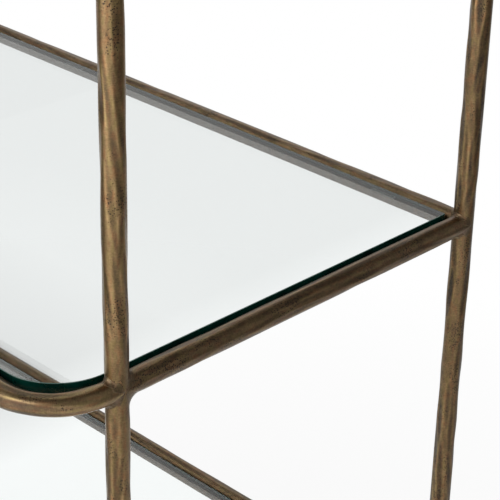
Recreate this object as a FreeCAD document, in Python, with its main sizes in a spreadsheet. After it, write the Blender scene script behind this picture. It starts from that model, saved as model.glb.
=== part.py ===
import FreeCAD, Part
import os
import Sketcher

# Etagere: loose glass shelves in a welded frame of hand-hammered round bar.
# Four posts stand on levelling feet. At each height a ring of the same bar joins them:
# one bar bent round both front corners, two side bars and a back bar. The front posts
# stand at the ends of the bends, the rear posts at the square rear corners. A bar stops
# short of its post, and weld metal fills the gap and flares out onto the post. Two square
# ledges inside each ring carry a glass pane on thin pads, nearly level with the bar's top.
# Millimetres. Origin on the floor under the middle. +X right, +Y to the back, +Z up.

os.makedirs("parts", exist_ok=True)
doc = FreeCAD.newDocument("etagere")

# ---------------------------------------------------------------- driving sizes
SHELF_COUNT = 5
PADS_PER_LEDGE = 3

SIZES = [
    ("bar_diameter", 16.0, "round bar of the posts and the rings"),
    ("post_spacing_across", 900.0, "left post axis to right post axis"),
    ("post_spacing_deep", 356.0, "front post axis to rear post axis"),
    ("bend_radius", 49.0, "front corner, to the bar's centre line"),
    ("bend_lead", 7.5, "straight bar from a front post's axis to its bend"),
    ("lowest_shelf_rise", 150.0, "floor to the lowest ring's centre line"),
    ("shelf_spacing", 382.0, "ring to ring"),
    ("post_rise", 22.0, "post above the top ring's centre line"),
    ("post_crown", 5.0, "rounding of a post's top end"),
    ("post_bevel", 1.0, "bevel of a post's bottom end"),
    ("weld_fillet", 3.0, "radius of the dressed weld in a joint"),
    ("weld_land", 0.5, "plain weld between its fillet and the bar's end"),
    ("ledge_width", 6.0, "square bar under the pane, inwards from the ring"),
    ("ledge_thickness", 6.0, "square bar under the pane, upright"),
    ("pad_length", 24.0, "clear pad along the ledge"),
    ("pad_width", 3.5, "clear pad across the ledge"),
    ("pad_thickness", 0.5, "clear pad under the pane"),
    ("pad_end_distance", 60.0, "ledge end to the middle of its outer pad"),
    ("glass_thickness", 8.0, "pane"),
    ("glass_gap", 2.0, "between the pane's edge and the bar beside it"),
    ("glass_sink", 0.5, "pane's top below the top of the bar"),
    ("glass_corner_radius", 45.0, "pane's front corners"),
    ("glass_arris", 0.6, "ground edge of the pane"),
    ("rest_gap", 0.3, "running clearance under a loose pane"),
    ("glide_height", 8.0, "nylon foot"),
    ("glide_floor", 2.5, "nylon under the stud's head"),
    ("glide_bevel", 1.2, "bevels of the nylon foot"),
    ("foot_gap", 0.3, "between a foot screwed home and its post"),
    ("stud_diameter", 6.0, "M6 levelling stud"),
    ("stud_fit", 0.08, "radial running clearance of the stud in its hole"),
    ("stud_reach", 24.0, "stud inside its post when screwed home"),
    ("stud_tip_bevel", 0.8, "bevel of the stud's end"),
    ("stud_head_diameter", 11.0, "flange held in the nylon"),
    ("stud_head_thickness", 2.5, "flange held in the nylon"),
    ("stud_hole_spare", 4.0, "tapped hole beyond the stud's end"),
]

sheet = doc.addObject("Spreadsheet::Sheet", "Sizes")
for row, (alias, number, meaning) in enumerate(SIZES, start=1):
    sheet.set("A%d" % row, meaning)
    sheet.set("B%d" % row, str(number))
    sheet.setAlias("B%d" % row, alias)
doc.recompute()

# ---------------------------------------------------------------- sizes that follow
# Each is an expression on the sheet, used by every piece that meets there.
BAR_RADIUS = "(Sizes.bar_diameter / 2)"
WELD_REACH = "(Sizes.bar_diameter / 2 + Sizes.weld_fillet + Sizes.weld_land)"
POST_X = "(Sizes.post_spacing_across / 2)"
RING_DEPTH = "(Sizes.post_spacing_deep + Sizes.bend_lead + Sizes.bend_radius)"
REAR_Y = "(%s / 2)" % RING_DEPTH
FRONT_BAR_Y = "(-%s / 2)" % RING_DEPTH
FRONT_POST_Y = "(%s - Sizes.post_spacing_deep)" % REAR_Y
POST_FOOT_Z = "(Sizes.glide_height + Sizes.foot_gap)"
TOP_RING_Z = "(Sizes.lowest_shelf_rise + %d * Sizes.shelf_spacing)" % (SHELF_COUNT - 1)
GLASS_INSET = "(Sizes.bar_diameter / 2 + Sizes.glass_gap)"
GLASS_UNDERSIDE = "(Sizes.bar_diameter / 2 - Sizes.glass_sink - Sizes.glass_thickness)"
PAD_UNDERSIDE = "(%s - Sizes.rest_gap - Sizes.pad_thickness)" % GLASS_UNDERSIDE
LEDGE_UNDERSIDE = "(%s - Sizes.ledge_thickness)" % PAD_UNDERSIDE
# A ledge whose top is below the bar's middle lies against the bar's rounding, so it sits closer in.
LEDGE_SIDE = "sqrt((Sizes.bar_diameter / 2)^2 - max(0; -%s)^2)" % PAD_UNDERSIDE
STUD_HEAD_TOP = "(Sizes.glide_floor + Sizes.stud_head_thickness)"


def ring_z(shelf):
    """Height of a ring's centre line, counted from the lowest shelf, 1."""
    return "(Sizes.lowest_shelf_rise + %d * Sizes.shelf_spacing)" % (shelf - 1)


def value(expression):
    """Number that an expression on the sheet gives."""
    return float(sheet.evalExpression(expression))


# ---------------------------------------------------------------- drawing helpers
nodes = []


def put(obj, across, deep, up):
    """Bind an object's place and keep it as a sub-part."""
    obj.setExpression("Placement.Base.x", across)
    obj.setExpression("Placement.Base.y", deep)
    obj.setExpression("Placement.Base.z", up)
    nodes.append(obj)


def new_body(name):
    body = doc.addObject("PartDesign::Body", name)
    body.Label = name
    return body


def new_sketch(body, name, role):
    """Sketch on one of the body's own origin planes."""
    plane = next(item for item in body.Origin.OriginFeatures if item.Role == role)
    sketch = body.newObject("Sketcher::SketchObject", name)
    sketch.AttachmentSupport = [(plane, "")]
    sketch.MapMode = "FlatFace"
    return sketch


def bind_constraint(sketch, name, expression, kind, *places):
    """Add a dimension and tie it to the sheet."""
    index = sketch.addConstraint(Sketcher.Constraint(kind, *places, value(expression)))
    sketch.renameConstraint(index, name)
    sketch.setExpression("Constraints." + name, expression)


def add_circle(sketch, across, up, radius):
    """Circle with its centre and radius tied to the sheet."""
    centre = FreeCAD.Vector(value(across), value(up), 0)
    circle = Part.Circle(centre, FreeCAD.Vector(0, 0, 1), value(radius))
    index = sketch.addGeometry(circle)
    bind_constraint(sketch, "across_%d" % index, across, "DistanceX", -1, 1, index, 3)
    bind_constraint(sketch, "up_%d" % index, up, "DistanceY", -1, 1, index, 3)
    bind_constraint(sketch, "radius_%d" % index, radius, "Radius", index)


def add_outline(sketch, corners, bends=None, closed=True):
    """Lines through corners, each corner tied to the sheet.

    bends maps a side's number to its arc: the radius and the point half way round it.
    A sketch's arcs run counter-clockwise, so a clockwise one is drawn from its far end.
    """
    bends = bends or {}
    points = [FreeCAD.Vector(value(x), value(y), 0) for x, y in corners]
    side_count = len(points) if closed else len(points) - 1
    starts = {}
    ends = {}
    for side in range(side_count):
        first = points[side]
        second = points[(side + 1) % len(points)]
        if side in bends:
            radius, middle = bends[side]
            halfway = FreeCAD.Vector(value(middle[0]), value(middle[1]), 0)
            forward = (halfway - first).cross(second - first).z > 0
            if forward:
                index = sketch.addGeometry(Part.Arc(first, halfway, second))
            else:
                index = sketch.addGeometry(Part.Arc(second, halfway, first))
            starts[side] = (index, 1 if forward else 2)
            ends[side] = (index, 2 if forward else 1)
            bind_constraint(sketch, "bend_%d" % side, radius, "Radius", index)
        else:
            index = sketch.addGeometry(Part.LineSegment(first, second))
            starts[side] = (index, 1)
            ends[side] = (index, 2)
    for side in range(side_count):
        if side > 0:
            sketch.addConstraint(Sketcher.Constraint("Coincident", *ends[side - 1], *starts[side]))
        bind_constraint(sketch, "x_%d" % side, corners[side][0], "DistanceX", -1, 1, *starts[side])
        bind_constraint(sketch, "y_%d" % side, corners[side][1], "DistanceY", -1, 1, *starts[side])
    last = side_count - 1
    if closed:
        sketch.addConstraint(Sketcher.Constraint("Coincident", *ends[last], *starts[0]))
    else:
        bind_constraint(sketch, "x_end", corners[-1][0], "DistanceX", -1, 1, *ends[last])
        bind_constraint(sketch, "y_end", corners[-1][1], "DistanceY", -1, 1, *ends[last])


def pad(body, sketch, length):
    feature = body.newObject("PartDesign::Pad", "Pad")
    feature.Profile = sketch
    feature.setExpression("Length", length)
    doc.recompute()
    return feature


def revolve(body, sketch):
    feature = body.newObject("PartDesign::Revolution", "Revolution")
    feature.Profile = sketch
    feature.ReferenceAxis = (sketch, ["V_Axis"])
    doc.recompute()
    return feature


def pocket(body, sketch, length, side, reverse=False):
    """Cut the sketch out of the body, and make sure that the cut took something away."""
    before = body.Shape.Volume
    feature = body.newObject("PartDesign::Pocket", "Pocket")
    feature.Profile = sketch
    feature.SideType = side
    feature.Reversed = reverse
    feature.setExpression("Length", length)
    doc.recompute()
    if feature.Shape.Volume >= before:
        raise RuntimeError(body.Label + ": a pocket cut nothing")
    return feature


def edges_at(shape, height):
    """Names of the edges that lie level at one height of the body."""
    names = []
    for number, edge in enumerate(shape.Edges, start=1):
        box = edge.BoundBox
        if abs(box.ZMin - height) < 0.001 and abs(box.ZMax - height) < 0.001:
            names.append("Edge%d" % number)
    return names


# ---------------------------------------------------------------- posts
def make_post(name, across, deep):
    """Solid round bar, rounded on top, drilled and tapped below for the foot's stud."""
    length = "(%s + Sizes.post_rise - %s)" % (TOP_RING_Z, POST_FOOT_Z)
    body = new_body(name)
    section = new_sketch(body, "Section", "XY_Plane")
    add_circle(section, "0", "0", BAR_RADIUS)
    bar = pad(body, section, length)
    crown = body.newObject("PartDesign::Fillet", "Crown")
    crown.Base = (bar, edges_at(bar.Shape, value(length)))
    crown.setExpression("Radius", "Sizes.post_crown")
    doc.recompute()
    bevel = body.newObject("PartDesign::Chamfer", "Bevel")
    bevel.Base = (crown, edges_at(crown.Shape, 0))
    bevel.setExpression("Size", "Sizes.post_bevel")
    doc.recompute()
    hole = new_sketch(body, "Hole", "XY_Plane")
    add_circle(hole, "0", "0", "(Sizes.stud_diameter / 2 + Sizes.stud_fit)")
    pocket(body, hole, "Sizes.stud_reach + Sizes.stud_hole_spare", "One side", reverse=True)
    put(body, across, deep, POST_FOOT_Z)


# ---------------------------------------------------------------- ring bars
def make_front_bar(name, shelf):
    """One bar bent round both front corners, cut square in front of the front posts."""
    body = new_body(name)
    lead_end = "(-Sizes.bend_lead)"
    front = "(-Sizes.bend_lead - Sizes.bend_radius)"
    left = "(-Sizes.post_spacing_across)"
    bend_45 = "Sizes.bend_radius * (1 - sqrt(0.5))"
    middle_y = "(-Sizes.bend_lead - Sizes.bend_radius * sqrt(0.5))"
    line = new_sketch(body, "CentreLine", "XY_Plane")
    corners = [
        ("0", "0"),
        ("0", lead_end),
        ("(-Sizes.bend_radius)", front),
        ("(%s + Sizes.bend_radius)" % left, front),
        (left, lead_end),
        (left, "0"),
    ]
    bends = {
        1: ("Sizes.bend_radius", ("(-%s)" % bend_45, middle_y)),
        3: ("Sizes.bend_radius", ("(%s + %s)" % (left, bend_45), middle_y)),
    }
    add_outline(line, corners, bends, closed=False)
    section = new_sketch(body, "Section", "XZ_Plane")
    add_circle(section, "0", "0", BAR_RADIUS)
    doc.recompute()
    bar = body.newObject("PartDesign::AdditivePipe", "Bar")
    bar.Profile = section
    bar.Spine = (line, [])
    doc.recompute()
    ends = new_sketch(body, "Ends", "XY_Plane")
    weld_start = "(-%s)" % WELD_REACH
    corners = [
        ("(%s - Sizes.bar_diameter)" % left, weld_start),
        ("Sizes.bar_diameter", weld_start),
        ("Sizes.bar_diameter", "Sizes.bar_diameter"),
        ("(%s - Sizes.bar_diameter)" % left, "Sizes.bar_diameter"),
    ]
    add_outline(ends, corners)
    pocket(body, ends, "2 * Sizes.bar_diameter", "Symmetric")
    put(body, POST_X, FRONT_POST_Y, ring_z(shelf))


def make_side_bar(name, across, shelf):
    """Straight bar between the welds of a front post and a rear post."""
    body = new_body(name)
    section = new_sketch(body, "Section", "XZ_Plane")
    add_circle(section, "0", "0", BAR_RADIUS)
    pad(body, section, "Sizes.post_spacing_deep - 2 * " + WELD_REACH)
    put(body, across, "%s - %s" % (REAR_Y, WELD_REACH), ring_z(shelf))


def make_back_bar(name, shelf):
    """Straight bar between the welds of the two rear corners."""
    body = new_body(name)
    section = new_sketch(body, "Section", "YZ_Plane")
    add_circle(section, "0", "0", BAR_RADIUS)
    pad(body, section, "Sizes.post_spacing_across - 2 * " + WELD_REACH)
    put(body, "%s - %s" % (WELD_REACH, POST_X), REAR_Y, ring_z(shelf))


# ---------------------------------------------------------------- welds
def seam_fillets(first, second, radius):
    """Fillets of one radius in the seams between two crossing bars."""
    joined = first.fuse(second)
    seams = [edge for edge in joined.Edges if edge.Curve.TypeId == "Part::GeomEllipse"]
    return joined.makeFillet(radius, seams).cut(joined)


def beyond(reach, direction, start=(0, 0, 0)):
    """What lies within reach on one side of a plane through start."""
    return Part.makeCylinder(reach, reach, FreeCAD.Vector(*start), FreeCAD.Vector(*direction))


def make_welds(name, shelf):
    """Every weld of one ring: a plug between each bar end and its post, with fillets onto the post.

    In a square corner the plugs of two bars meet in a mitre, and three fillets meet above it
    and three below. Each stops at the planes that halve the angles between the bars.
    """
    bar_radius = sheet.bar_diameter / 2
    weld_reach = value(WELD_REACH)
    reach = 2 * sheet.bar_diameter
    middle = FreeCAD.Vector(0, 0, 0)
    up = FreeCAD.Vector(0, 0, 1)
    post = Part.makeCylinder(bar_radius, 2 * reach, FreeCAD.Vector(0, 0, -reach), up)
    bar_x = Part.makeCylinder(bar_radius, reach, middle, FreeCAD.Vector(1, 0, 0))
    bar_y = Part.makeCylinder(bar_radius, reach, middle, FreeCAD.Vector(0, 1, 0))
    plug = bar_x.cut([post, beyond(reach, (1, 0, 0), (weld_reach, 0, 0))])
    fillets = seam_fillets(post, bar_x, sheet.weld_fillet)
    end_weld = plug.fuse(fillets.Solids)

    upper = max(fillets.Solids, key=lambda solid: solid.CenterOfMass.z)
    upper = upper.cut([beyond(reach, (-1, 1, 0)), beyond(reach, (0, 1, -1))])
    mitred_plug = plug.cut(beyond(reach, (-1, 1, 0)))
    corner_x = mitred_plug.fuse([upper, upper.mirror(middle, up)])
    corner_y = corner_x.mirror(middle, FreeCAD.Vector(-1, 1, 0))
    inner_fillet = seam_fillets(bar_x, bar_y, sheet.weld_fillet)
    for side in (-1, 1):
        inner_fillet = inner_fillet.cut([beyond(reach, (-1, 0, side)), beyond(reach, (0, -1, side))])
    corner_weld = Part.makeCompound([corner_x, corner_y, inner_fillet])

    right = value(POST_X)
    front = value(FRONT_POST_Y)
    rear = value(REAR_Y)
    places = [
        (end_weld, right, front, 90),
        (end_weld, right, front, -90),
        (end_weld, -right, front, 90),
        (end_weld, -right, front, -90),
        (corner_weld, right, rear, 180),
        (corner_weld, -right, rear, -90),
    ]
    solids = []
    for weld, across, deep, turn in places:
        copy = weld.copy()
        copy.rotate(FreeCAD.Vector(0, 0, 0), up, turn)
        copy.translate(FreeCAD.Vector(across, deep, 0))
        solids.extend(copy.Solids)
    feature = doc.addObject("Part::Feature", name)
    feature.Label = name
    feature.Shape = Part.makeCompound(solids)
    put(feature, "0", "0", ring_z(shelf))


# ---------------------------------------------------------------- ledges and pads
# The rear ledge stops clear of the welds in the square corners, the front one at the bends.
REAR_LEDGE_HALF = "(%s - %s)" % (POST_X, WELD_REACH)
FRONT_LEDGE_HALF = "(%s - Sizes.bend_radius)" % POST_X
REAR_LEDGE_Y = "(%s - %s - Sizes.ledge_width)" % (REAR_Y, LEDGE_SIDE)
FRONT_LEDGE_Y = "(%s + %s)" % (FRONT_BAR_Y, LEDGE_SIDE)
PAD_INSET = "((%s + %s + Sizes.ledge_width) / 2)" % (GLASS_INSET, LEDGE_SIDE)


def make_ledge(name, half_length, deep, shelf):
    """Square bar welded along the inside of a ring's long bar."""
    ledge = doc.addObject("Part::Box", name)
    ledge.Label = name
    ledge.setExpression("Length", "2 * " + half_length)
    ledge.setExpression("Width", "Sizes.ledge_width")
    ledge.setExpression("Height", "Sizes.ledge_thickness")
    put(ledge, "(-%s)" % half_length, deep, "%s + %s" % (ring_z(shelf), LEDGE_UNDERSIDE))


def make_pads(name, shelf):
    """Clear pads on both ledges, under the strip of glass that rests there."""
    rows = [
        (FRONT_LEDGE_HALF, "(%s + %s)" % (FRONT_BAR_Y, PAD_INSET)),
        (REAR_LEDGE_HALF, "(%s - %s)" % (REAR_Y, PAD_INSET)),
    ]
    pads = []
    for half_length, middle_y in rows:
        outer_pad = "(%s - Sizes.pad_end_distance)" % half_length
        for number in range(PADS_PER_LEDGE):
            share = 2 * number / (PADS_PER_LEDGE - 1) - 1
            block = doc.addObject("Part::Box", "pad_block")
            block.setExpression("Length", "Sizes.pad_length")
            block.setExpression("Width", "Sizes.pad_width")
            block.setExpression("Height", "Sizes.pad_thickness")
            block.setExpression("Placement.Base.x", "%s * %s - Sizes.pad_length / 2" % (share, outer_pad))
            block.setExpression("Placement.Base.y", "%s - Sizes.pad_width / 2" % middle_y)
            pads.append(block)
    group = doc.addObject("Part::Compound", name)
    group.Label = name
    group.Links = pads
    put(group, "0", "0", "%s + %s" % (ring_z(shelf), PAD_UNDERSIDE))


# ---------------------------------------------------------------- glass panes
def make_glass(name, shelf):
    """Loose pane: front corners rounded inside the bends, rear corners square."""
    half = "(%s - %s)" % (POST_X, GLASS_INSET)
    front = "(%s + %s)" % (FRONT_BAR_Y, GLASS_INSET)
    back = "(%s - %s)" % (REAR_Y, GLASS_INSET)
    inner_x = "(%s - Sizes.glass_corner_radius)" % half
    bend_y = "(%s + Sizes.glass_corner_radius)" % front
    middle_x = "(%s - Sizes.glass_corner_radius * (1 - sqrt(0.5)))" % half
    middle_y = "(%s + Sizes.glass_corner_radius * (1 - sqrt(0.5)))" % front
    corners = [
        ("(-%s)" % inner_x, front),
        (inner_x, front),
        (half, bend_y),
        (half, back),
        ("(-%s)" % half, back),
        ("(-%s)" % half, bend_y),
    ]
    bends = {
        1: ("Sizes.glass_corner_radius", (middle_x, middle_y)),
        5: ("Sizes.glass_corner_radius", ("(-%s)" % middle_x, middle_y)),
    }
    body = new_body(name)
    plan = new_sketch(body, "Plan", "XY_Plane")
    add_outline(plan, corners, bends)
    slab = pad(body, plan, "Sizes.glass_thickness")
    arris = body.newObject("PartDesign::Chamfer", "Arris")
    arris.Base = (slab, edges_at(slab.Shape, 0) + edges_at(slab.Shape, value("Sizes.glass_thickness")))
    arris.setExpression("Size", "Sizes.glass_arris")
    doc.recompute()
    put(body, "0", "0", "%s + %s" % (ring_z(shelf), GLASS_UNDERSIDE))


# ---------------------------------------------------------------- levelling feet
def make_glide(name, across, deep):
    """Nylon foot as wide as its post, moulded round the stud's head."""
    shoulder = "(Sizes.bar_diameter / 2 - Sizes.glide_bevel)"
    head_radius = "(Sizes.stud_head_diameter / 2)"
    stud_radius = "(Sizes.stud_diameter / 2)"
    corners = [
        ("0", "0"),
        (shoulder, "0"),
        (BAR_RADIUS, "Sizes.glide_bevel"),
        (BAR_RADIUS, "(Sizes.glide_height - Sizes.glide_bevel)"),
        (shoulder, "Sizes.glide_height"),
        (stud_radius, "Sizes.glide_height"),
        (stud_radius, STUD_HEAD_TOP),
        (head_radius, STUD_HEAD_TOP),
        (head_radius, "Sizes.glide_floor"),
        ("0", "Sizes.glide_floor"),
    ]
    body = new_body(name)
    profile = new_sketch(body, "Profile", "XZ_Plane")
    add_outline(profile, corners)
    revolve(body, profile)
    put(body, across, deep, "0")


def make_stud(name, across, deep):
    """Steel stud: its head is held in the nylon and its shank screws into the post."""
    head_radius = "(Sizes.stud_head_diameter / 2)"
    stud_radius = "(Sizes.stud_diameter / 2)"
    head_top = "Sizes.stud_head_thickness"
    tip = "(%s + Sizes.stud_reach - Sizes.glide_floor)" % POST_FOOT_Z
    corners = [
        ("0", "0"),
        (head_radius, "0"),
        (head_radius, head_top),
        (stud_radius, head_top),
        (stud_radius, "(%s - Sizes.stud_tip_bevel)" % tip),
        ("(%s - Sizes.stud_tip_bevel)" % stud_radius, tip),
        ("0", tip),
    ]
    body = new_body(name)
    profile = new_sketch(body, "Profile", "XZ_Plane")
    add_outline(profile, corners)
    revolve(body, profile)
    put(body, across, deep, "Sizes.glide_floor")


# ---------------------------------------------------------------- the whole etagere
CORNERS = [
    ("front_left", "(-%s)" % POST_X, FRONT_POST_Y),
    ("front_right", POST_X, FRONT_POST_Y),
    ("rear_left", "(-%s)" % POST_X, REAR_Y),
    ("rear_right", POST_X, REAR_Y),
]
for corner, across, deep in CORNERS:
    make_post("post_" + corner, across, deep)
    make_glide("foot_glide_" + corner, across, deep)
    make_stud("foot_stud_" + corner, across, deep)

for shelf in range(1, SHELF_COUNT + 1):
    prefix = "shelf_%d_" % shelf
    make_front_bar(prefix + "front_bar", shelf)
    make_side_bar(prefix + "side_bar_left", "(-%s)" % POST_X, shelf)
    make_side_bar(prefix + "side_bar_right", POST_X, shelf)
    make_back_bar(prefix + "back_bar", shelf)
    make_welds(prefix + "welds", shelf)
    make_ledge(prefix + "ledge_front", FRONT_LEDGE_HALF, FRONT_LEDGE_Y, shelf)
    make_ledge(prefix + "ledge_rear", REAR_LEDGE_HALF, REAR_LEDGE_Y, shelf)
    make_pads(prefix + "pads", shelf)
    make_glass(prefix + "glass", shelf)

doc.recompute()

# ---------------------------------------------------------------- checks and files
for obj in doc.Objects:
    if "Invalid" in obj.State or "Error" in obj.State:
        raise RuntimeError("%s did not recompute: %s" % (obj.Label, obj.State))
for node in nodes:
    if node.Shape.isNull() or not node.Shape.isValid():
        raise RuntimeError(node.Label + " has no valid shape")
for node in nodes:
    node.Shape.exportStep("parts/%s.step" % node.Label)
print("%d sub-parts written" % len(nodes))
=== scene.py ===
# %% [markdown]
# # An etagere of hammered bar and loose glass
#
# The real piece is a frame of 16 mm round bar, hammered by hand, patinated to a dark bronze and rubbed
# back so that the ridges shine like old brass. Five panes of float glass lie loose in its rings.
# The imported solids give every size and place. Here each bar gets its hammer blows, each joint its
# dressed weld, and each surface its finish. Lengths are metres, and +Z is up.

# %% Load the frame
import math

import bpy
import numpy as np
from mathutils import Matrix, Vector


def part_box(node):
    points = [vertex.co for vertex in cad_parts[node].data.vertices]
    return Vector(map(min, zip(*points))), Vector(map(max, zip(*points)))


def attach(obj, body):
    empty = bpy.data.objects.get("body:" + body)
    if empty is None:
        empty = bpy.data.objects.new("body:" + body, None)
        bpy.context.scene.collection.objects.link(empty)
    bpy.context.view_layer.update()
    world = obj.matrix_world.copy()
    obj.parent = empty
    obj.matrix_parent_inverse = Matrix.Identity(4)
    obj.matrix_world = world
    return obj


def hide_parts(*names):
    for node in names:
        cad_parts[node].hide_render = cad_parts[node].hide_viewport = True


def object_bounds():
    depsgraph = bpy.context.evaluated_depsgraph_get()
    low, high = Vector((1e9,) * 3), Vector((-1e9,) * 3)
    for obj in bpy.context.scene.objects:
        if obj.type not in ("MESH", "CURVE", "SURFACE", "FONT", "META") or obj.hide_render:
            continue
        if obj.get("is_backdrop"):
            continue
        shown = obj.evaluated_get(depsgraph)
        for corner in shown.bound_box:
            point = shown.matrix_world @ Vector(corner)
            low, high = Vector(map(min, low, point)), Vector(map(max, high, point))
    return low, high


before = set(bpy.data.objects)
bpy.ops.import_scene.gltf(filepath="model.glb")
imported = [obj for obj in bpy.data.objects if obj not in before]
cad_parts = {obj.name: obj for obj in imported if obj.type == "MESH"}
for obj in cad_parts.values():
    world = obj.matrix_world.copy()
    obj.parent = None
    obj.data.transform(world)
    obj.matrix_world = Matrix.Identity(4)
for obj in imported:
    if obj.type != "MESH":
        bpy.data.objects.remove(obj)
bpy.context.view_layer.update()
scene = bpy.context.scene
MM = 0.001
SHELVES = (1, 2, 3, 4, 5)

# %% [markdown]
# ## Sizes read from the solids
#
# A node's box says where its bar runs: a post's middle is its axis, and a back bar's middle is the
# height of its ring. Reading them keeps the looks and the solids together when a size changes.

# %% Bar radius, post axes and ring heights
def middle_of(node):
    """Middle of a CAD node's box."""
    low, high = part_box(node)
    return (low + high) / 2


BAR_RADIUS = (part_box("shelf_1_back_bar")[1].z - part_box("shelf_1_back_bar")[0].z) / 2
POSTS = ("front_left", "front_right", "rear_left", "rear_right")
post_axis = {corner: middle_of("post_" + corner) for corner in POSTS}
ring_height = {shelf: middle_of("shelf_%d_back_bar" % shelf).z for shelf in SHELVES}
RIGHT = post_axis["front_right"].x
FRONT_Y = post_axis["front_right"].y
REAR_Y = post_axis["rear_right"].y
FRONT_BAR_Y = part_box("shelf_1_front_bar")[0].y + BAR_RADIUS
print("bar radius %.2f mm, rings at" % (BAR_RADIUS / MM), [round(z / MM) for z in ring_height.values()])

# %% [markdown]
# ## How a surface becomes a mesh
#
# Every piece is a grid of points: rows go along the piece, columns run round it. A fan closes each
# end. One function turns such a grid into faces, all of them facing outwards, and stores numbers that
# the finish reads, such as the place along the unbent bar and how far a spot stands proud.

# %% Grids and their faces
def faces_of_grid(rows, columns, offset):
    """Corner numbers of a closed grid: quads between neighbours, columns joined round, ends fanned."""
    corner = np.arange(rows * columns).reshape(rows, columns) + offset
    beside = np.roll(corner, -1, axis=1)
    quads = np.stack([corner[:-1], beside[:-1], beside[1:], corner[1:]], axis=-1).reshape(-1, 4)
    start, end = offset + rows * columns, offset + rows * columns + 1
    start_fan = np.stack([beside[0], corner[0], np.full(columns, start)], axis=-1)
    end_fan = np.stack([corner[-1], beside[-1], np.full(columns, end)], axis=-1)
    return quads, np.concatenate([start_fan, end_fan])


def with_ends(values):
    """Values of a grid in one list, followed by the mean of its first row and of its last."""
    flat = values.reshape(values.shape[0] * values.shape[1], -1)
    ends = [values[row].reshape(values.shape[1], -1).mean(axis=0, keepdims=True) for row in (0, -1)]
    return np.concatenate([flat, *ends])


def turned_grid(radius, heights, axis):
    """Grid round an upright axis, from the radius of each row and column and each row's height."""
    columns = radius.shape[1]
    angle = np.linspace(0, 2 * np.pi, columns, endpoint=False)
    return np.stack([axis.x + radius * np.cos(angle), axis.y + radius * np.sin(angle),
                     np.repeat(heights[:, None], columns, axis=1)], axis=-1)


print("a grid of 3 by 4 points has", sum(len(faces) for faces in faces_of_grid(3, 4, 0)), "faces")

# %% Meshes and pieces
def mesh_from_grids(name, grids, numbers=()):
    """One mesh of closed grids. Numbers holds, for each grid, what its finish reads."""
    quads, fans, offset = [], [], 0
    for grid in grids:
        grid_quads, grid_fans = faces_of_grid(*grid.shape[:2], offset)
        quads.append(grid_quads)
        fans.append(grid_fans)
        offset += grid.shape[0] * grid.shape[1] + 2
    quads, fans = np.concatenate(quads), np.concatenate(fans)
    sizes = np.concatenate([np.full(len(quads), 4), np.full(len(fans), 3)])
    mesh = bpy.data.meshes.new(name)
    mesh.vertices.add(offset)
    points = np.concatenate([with_ends(grid) for grid in grids])
    mesh.vertices.foreach_set("co", points.astype(np.float32).ravel())
    mesh.loops.add(int(sizes.sum()))
    mesh.loops.foreach_set("vertex_index", np.concatenate([quads.ravel(), fans.ravel()]).astype(np.int32))
    mesh.polygons.add(len(sizes))
    mesh.polygons.foreach_set("loop_start", (np.cumsum(sizes) - sizes).astype(np.int32))
    mesh.polygons.foreach_set("use_smooth", np.ones(len(sizes), dtype=bool))
    for key in (numbers[0] if numbers else ()):
        flat = np.concatenate([with_ends(of_grid[key]) for of_grid in numbers])
        kind, field = ("FLOAT_VECTOR", "vector") if flat.shape[1] == 3 else ("FLOAT", "value")
        layer = mesh.attributes.new(key, kind, "POINT")
        layer.data.foreach_set(field, flat.astype(np.float32).ravel())
    mesh.update(calc_edges=True)
    mesh.validate()
    return mesh


def add_object(name, data):
    """Object of a mesh, lamp or camera, linked to the scene."""
    added = bpy.data.objects.new(name, data)
    scene.collection.objects.link(added)
    return added


def place_piece(name, mesh, body, slot, finish, *nodes):
    """Object of one mesh: it rides on a body, stands for CAD nodes and wears one finish."""
    piece = add_object(name, mesh)
    mesh.materials.append(finish)
    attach(piece, body)
    if nodes:
        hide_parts(*nodes)
    return piece


print("meshes that came with the solids:", len(bpy.data.meshes))

# %% [markdown]
# ## Hammer blows
#
# A smith turns the hot bar under the hammer. Each blow leaves a long, shallow flat, and where two
# flats meet there is a ridge. So the surface isn't noise on a cylinder: it is the round bar cut by many
# flats, and the bar keeps whatever lies nearest its axis. Every flat also keeps its own share of
# patina, because the rag rubs one flat harder than the next. The round it starts from is a little
# thicker than the stock bar, because hammering spreads the metal as well as denting it.

# %% Radius of a hammered bar
ROUND_RADIUS = 8.32 * MM
COLUMNS = 64
ROW_STEP = 2.0 * MM
UNTOUCHED = 0.62
SCATTER = 2
MOST_LEAN = 0.13
turn = np.linspace(0, 2 * np.pi, COLUMNS, endpoint=False)


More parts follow.
